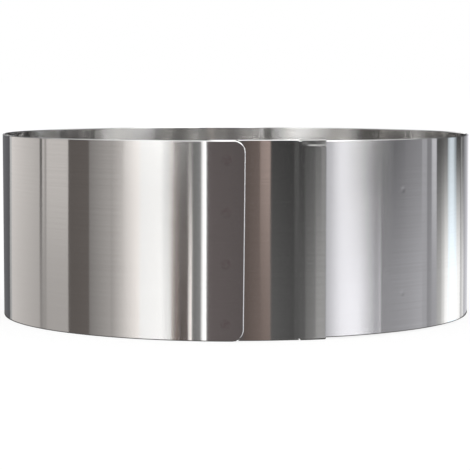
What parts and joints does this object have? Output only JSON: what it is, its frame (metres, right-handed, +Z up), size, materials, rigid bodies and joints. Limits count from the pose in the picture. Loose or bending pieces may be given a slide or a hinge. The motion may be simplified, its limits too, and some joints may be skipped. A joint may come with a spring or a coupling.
{
  "type": "adjustable cake ring",
  "caption": "Bottomless round cake ring of springy stainless strip, lapped on itself and held by a welded guide plate with folded ears, so its diameter can be set.",
  "frame": {"origin": "centre of the ring's foot, on the surface it stands on and on the axis the guide turns about", "axes": "+Z up along the ring's axis; -Y to the front, where the strip's outer end and the guide plate are; +X to the right seen from the front"},
  "size_m": [0.2185, 0.2196, 0.0849],
  "materials": {
    "strip": "bright rolled sheet with fine lines round the ring",
    "plate": "bright rolled sheet, a little softer than the strip",
    "weld": "dull weld metal"
  },
  "bodies": {
    "band": {"band_strip": "strip"},
    "guide": {"guide_plate": "plate", "spot_weld_1": "weld", "spot_weld_2": "weld", "spot_weld_3": "weld", "spot_weld_4": "weld"}
  },
  "joints": [
    {"name": "guide_turn", "type": "hinge", "parent": "band", "child": "guide", "pos_m": [0, 0, 0], "axis": [0, 0, 1], "range_deg": [-66, 98]}
  ]
}
